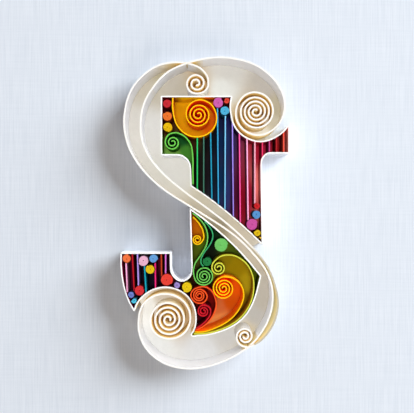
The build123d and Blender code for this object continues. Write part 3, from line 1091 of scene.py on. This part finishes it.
# %% Papers of the tight coils
# Each coil's cut edge and its slot.
coil_papers = {
    "coil_red": ((200, 38, 48), "paper_red"),
    "coil_orange": ((238, 115, 40), "paper_orange"),
    "coil_yellow": ((234, 186, 4), "paper_yellow"),
    "coil_magenta": ((210, 96, 176), "paper_magenta"),
    "coil_scarlet": ((226, 68, 50), "paper_scarlet"),
    "coil_cyan": ((78, 180, 220), "paper_sky"),
    "coil_foot_red": ((208, 32, 38), "paper_scarlet"),
    "coil_foot_blue": ((88, 148, 208), "paper_blue"),
    "coil_foot_magenta": ((206, 82, 160), "paper_magenta"),
    "coil_foot_yellow": ((226, 186, 18), "paper_yellow"),
    "coil_foot_orange": ((255, 196, 60), "paper_orange"),
    "coil_hook_orange": ((245, 116, 62), "paper_orange"),
    "coil_hook_pink": ((238, 180, 206), "paper_light_pink"),
    "coil_hook_blue": ((102, 160, 218), "paper_blue"),
    "coil_hook_yellow": ((234, 194, 12), "paper_yellow"),
    "coil_hook_periwinkle": ((110, 127, 202), "paper_periwinkle"),
    "coil_hook_red": ((218, 46, 52), "paper_red"),
    "coil_hook_cyan": ((80, 198, 230), "paper_cyan"),
    "coil_bowl_red": ((236, 66, 52), "paper_scarlet"),
    "coil_bowl_lavender": ((160, 138, 205), "paper_lavender"),
    "coil_bowl_yellow": ((236, 198, 12), "paper_yellow"),
    "coil_bowl_green": ((112, 200, 100), "paper_light_green"),
    "coil_bowl_emerald": ((30, 124, 64), "paper_emerald"),
}
# A coil's cut edge keeps this share of its colour, as painted shade for the light lost between its layers.
coil_strength = 0.7
print("coils:", len(coil_papers))

# %% Wind the tight coils
layer = 0.3 * MM
# The paper takes this much of a layer, and glue the rest.
coil_paper = layer * 0.97
# In the frame the radius of a coil's outline falls by this much in its one turn.
coil_step = 0.2 * MM
steps_in_turn = 20
fewest_steps = 12
# Each coil's loose end lies this many radians further round than the last one's.
end_shift = 2.4


def coil_place(node):
    """Centre and outer radius of a tight coil in the frame."""
    low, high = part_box(node)
    radius = (high.x - low.x + coil_step / 2) / 2
    centre = Vector((high.x - radius, high.y - radius + coil_step / 4))
    return centre, radius


def wound_line(centre, radius, start_angle):
    """A spiral from the loose end on the outside to the eye."""
    outermost = radius - layer / 2
    turns = (outermost - layer / 2) / layer
    steps = max(fewest_steps, round(turns * steps_in_turn))
    line = []
    for step in range(steps + 1):
        share = step / steps
        reach = outermost - turns * layer * share
        angle = start_angle + turns * 2 * pi * share
        line.append(centre + Vector((cos(angle), sin(angle))) * reach)
    return line


for count, (node, (colour, slot)) in enumerate(coil_papers.items()):
    centre, radius = coil_place(node)
    line = wound_line(centre, radius, start_angle=end_shift * count)
    coil = standing_strip("quilled_" + node, line, coil_paper, floor_top, strip_top, edge=0.05)
    finish_piece(coil, coloured(node, colour, coil_strength), slot, node)
print("tight coils:", len(coil_papers))

# %% [markdown]
# ## The straight strips
# These are plain strips on edge, cut to fit between the rim and what they meet. The frame already has
# them at their real length, so each one is a merged copy of its frame piece with its edges softened.

# %% Soften the straight strips
# Each strip's cut edge and its slot.
straight_papers = {
    "stem_green": ((42, 190, 100), "paper_grass"),
    "stem_grey_green": ((62, 112, 94), "paper_grey_green"),
    "stem_teal": ((28, 150, 185), "paper_teal"),
    "stem_sky": ((55, 162, 210), "paper_sky"),
    "stem_light_blue": ((120, 195, 235), "paper_light_blue"),
    "stem_lavender": ((150, 125, 220), "paper_lavender"),
    "stem_pink": ((242, 80, 155), "paper_pink"),
    "stem_light_pink": ((245, 165, 205), "paper_light_pink"),
    "stem_pale_pink": ((240, 165, 185), "paper_light_pink"),
    "stem_hot_pink": ((226, 50, 96), "paper_hot_pink"),
    "stem_magenta": ((190, 66, 130), "paper_magenta"),
    "stem_red": ((168, 26, 34), "paper_red"),
    "stem_orange_red": ((232, 78, 58), "paper_scarlet"),
    "hook_pale_pink": ((245, 165, 205), "paper_light_pink"),
    "hook_red": ((178, 14, 30), "paper_red"),
    "hook_lavender": ((170, 138, 215), "paper_lavender"),
    "hook_teal": ((12, 150, 170), "paper_teal"),
    "hook_hot_pink": ((232, 38, 115), "paper_hot_pink"),
    "hook_orange_red": ((182, 58, 20), "paper_vermilion"),
    "hook_violet_pink": ((210, 105, 198), "paper_violet_pink"),
}
# A straight strip's cut edge keeps this share of its colour.
straight_strength = 0.85
for node, (colour, slot) in straight_papers.items():
    pick(frame["nodes"][node])
    bpy.ops.object.duplicate()
    strip = bpy.context.object
    strip.name = "quilled_" + node
    del strip["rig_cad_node"]
    bpy.ops.object.mode_set(mode="EDIT")
    bpy.ops.mesh.select_all(action="SELECT")
    bpy.ops.mesh.remove_doubles(threshold=frame_merge)
    bpy.ops.mesh.dissolve_limited(angle_limit=radians(2))
    bpy.ops.object.mode_set(mode="OBJECT")
    soften(strip, 0.05)
    finish_piece(strip, coloured(node, colour, straight_strength), slot, node)
print("straight strips:", len(straight_papers))

# %% [markdown]
# ## The linen board
# The board is white card, pressed with a weave: uneven threads about a millimetre apart, stronger from
# top to bottom than across. Two stretched noises make the threads, one for each direction, and they give
# the bump and a faint change of tone. The board's solid is right as it is, so it only gets this finish.

# %% Node group: linen embossing
# Threads are noise stretched along Y or X, with this many to a metre each way.
upright_threads = (2000.0, 60.0, 1.0)
cross_threads = (50.0, 1500.0, 1.0)
cross_share = 0.35
thread_low, thread_high = 0.45, 0.9
grain_scale = 6000.0
grain_share = 0.2


def build_linen():
    """A group that gives the pressed threads and the fine grain of linen-embossed card."""
    group, _, end = new_group(
        "linen_embossing", [], [("Thread", "NodeSocketFloat"), ("Grain", "NodeSocketFloat")]
    )
    where = add_node(group, "ShaderNodeTexCoord").outputs["Object"]
    upright = noise_at(group, vector_of(group, "MULTIPLY", where, upright_threads), 1.0, 1.5)
    across = noise_at(group, vector_of(group, "MULTIPLY", where, cross_threads), 1.0, 1.5)
    weave = math_of(group, "ADD", upright, math_of(group, "MULTIPLY", across, cross_share))
    threads = ranged(group, weave, thread_low, thread_high, 0.0, 1.0)
    group.links.new(threads, end.inputs["Thread"])
    group.links.new(noise_at(group, where, grain_scale, 3.0), end.inputs["Grain"])
    return group


# %% Finish the board
board_card = bpy.data.materials.new("board_card")
board_card.use_nodes = True
card = board_card.node_tree
shader = card.nodes["Principled BSDF"]
linen = add_node(card, "ShaderNodeGroup")
linen.node_tree = build_linen()
thread, grain = linen.outputs["Thread"], linen.outputs["Grain"]
tone = mixed(card, thread, paint((226, 232, 240)), paint((236, 241, 248)))
card.links.new(tone, shader.inputs["Base Color"])
matt = ranged(card, grain, noise_low, noise_high, 0.75, 0.92)
card.links.new(matt, shader.inputs["Roughness"])
press = add_node(card, "ShaderNodeBump")
press.inputs["Strength"].default_value = 0.25
press.inputs["Distance"].default_value = 0.05 * MM
height = math_of(card, "ADD", thread, math_of(card, "MULTIPLY", grain, grain_share))
card.links.new(height, press.inputs["Height"])
card.links.new(press.outputs["Normal"], shader.inputs["Normal"])
shader.inputs["Specular IOR Level"].default_value = 0.2
board = frame["nodes"]["backing_board"]
board.data.materials.clear()
board.data.materials.append(board_card)
print("board finished:", board.name)

# %% [markdown]
# ## The studio
# A large soft window to the upper right gives the long soft shadows on the left. A weak far one, below
# and to the right, makes them lighter at the bottom. The room itself adds a little warm light, and
# where the camera looks past the floor it sees a plain pale backdrop.
#
# Thin paper also passes light on from strip to strip, more than the renderer's few bounces can. Soft
# suns stand for that light. Each one is linked to a group of paper pieces and leaves the board as it
# is. Most shine straight down. The ribbons' second one comes from above right, so that their walls
# keep a brighter and a darker side.

# %% Floor and room
floor_side = 5.0
floor_drop = 0.2 * MM
bpy.ops.object.select_all(action="DESELECT")
bpy.ops.mesh.primitive_plane_add(size=floor_side, location=(0, 0, -floor_drop))
table_top = bpy.context.object
table_top.name = "studio_floor"
table_paint = bpy.data.materials.new("studio_floor")
table_paint.use_nodes = True
table_shader = table_paint.node_tree.nodes["Principled BSDF"]
table_shader.inputs["Base Color"].default_value = (0.8, 0.8, 0.8, 1.0)
table_top.data.materials.append(table_paint)

world = bpy.data.worlds.new("soft room")
world.use_nodes = True
room = world.node_tree
room_light = room.nodes["Background"]
room_light.inputs["Color"].default_value = (1.0, 0.87, 0.78, 1.0)
room_light.inputs["Strength"].default_value = 0.19
backdrop = add_node(room, "ShaderNodeBackground")
backdrop.inputs["Color"].default_value = (0.68, 0.67, 0.66, 1.0)
seen_directly = add_node(room, "ShaderNodeLightPath").outputs["Is Camera Ray"]
either = add_node(room, "ShaderNodeMixShader")
room.links.new(seen_directly, either.inputs["Fac"])
room.links.new(room_light.outputs["Background"], either.inputs[1])
room.links.new(backdrop.outputs["Background"], either.inputs[2])
room.links.new(either.outputs["Shader"], room.nodes["World Output"].inputs["Surface"])
bpy.context.scene.world = world
print("floor:", table_top.name, "and room:", world.name)


# %% Windows
window_distance = 3.0


def open_window(name, towards, size, energy, colour):
    """A square of soft light, facing the panel from this side."""
    bpy.ops.object.light_add(type="AREA", location=towards * window_distance)
    window = bpy.context.object
    window.name = name
    window.data.shape = "SQUARE"
    window.data.size = size
    window.data.energy = energy
    window.data.color = colour
    window.rotation_mode = "QUATERNION"
    window.rotation_quaternion = towards.to_track_quat("Z", "Y")
    return window


window = open_window("window", to_window, size=2.0, energy=168.0, colour=(0.86, 0.93, 1.0))
to_far_window = Vector((10, -32, 22)).normalized()
far_window = open_window(
    "far_window", to_far_window, size=2.0, energy=36.0, colour=(1.0, 0.95, 0.9)
)
print("windows:", window.name, "and", far_window.name)


# %% Light that paper passes on
def shine_only_on(light, pieces):
    """A light that leaves out every object that isn't on the list."""
    lit_pieces = bpy.data.collections.new("lit by " + light.name)
    for piece in pieces:
        lit_pieces.objects.link(piece)
    light.light_linking.receiver_collection = lit_pieces


def soft_sun(name, towards, energy, spread, pieces):
    """Light from far away, as wide as its spread in degrees."""
    bpy.ops.object.light_add(type="SUN", location=towards)
    light = bpy.context.object
    light.name = name
    light.data.energy = energy
    light.data.angle = radians(spread)
    light.data.color = (1.0, 0.99, 0.96)
    light.rotation_mode = "QUATERNION"
    light.rotation_quaternion = towards.to_track_quat("Z", "Y")
    shine_only_on(light, pieces)


straight_up = Vector((0, 0, 1))
above_right = Vector((14, 30, 34)).normalized()
ground = pieces_named("ground_")
meshes = [piece for piece in bpy.context.scene.objects if piece.type == "MESH"]
ribbons = pieces_named("quilled_ribbon")
others = [piece for piece in pieces_named("quilled_") if piece not in ribbons]
shine_only_on(window, [piece for piece in meshes if piece not in ground + ribbons])
shine_only_on(far_window, [board, table_top])
floors = pieces_named("sheet_", "cut_")
soft_sun("light_on_strips", straight_up, energy=2.3, spread=70, pieces=others)
soft_sun("light_on_ribbons", straight_up, energy=2.1, spread=70, pieces=ribbons)
soft_sun("window_on_ribbons", above_right, energy=2.0, spread=50, pieces=ribbons)
soft_sun("far_window_on_ribbons", to_far_window, energy=0.35, spread=60, pieces=ribbons)
soft_sun("light_on_ground", straight_up, energy=2.5, spread=1, pieces=ground)
soft_sun("light_on_floors", straight_up, energy=2.4, spread=16, pieces=floors)

# %% [markdown]
# ## The camera
# The photograph looks straight down from about 20 cm. So near, the strips' tops spread outwards from
# their feet, and the walls show on the side that faces the middle. A long lens from far away would
# hide that, so the camera stands where the real one stood.

# %% Camera
eye_height = 209.0 * MM
bpy.ops.object.camera_add(location=(0.0, 0.0, eye_height), rotation=(0, 0, 0))
camera = bpy.context.object
camera.data.sensor_width = 36.0
camera.data.lens = 47.6
camera.data.clip_start = 0.01
camera.data.clip_end = 10.0
bpy.context.scene.camera = camera
print("camera at", eye_height / MM, "mm, lens", camera.data.lens, "mm")

# %% Colour of the picture
scene = bpy.context.scene
scene.view_settings.view_transform = "Standard"
scene.view_settings.look = "None"
scene.cycles.diffuse_bounces = 10
scene.cycles.max_bounces = 16
print("colours shown as", scene.view_settings.view_transform)
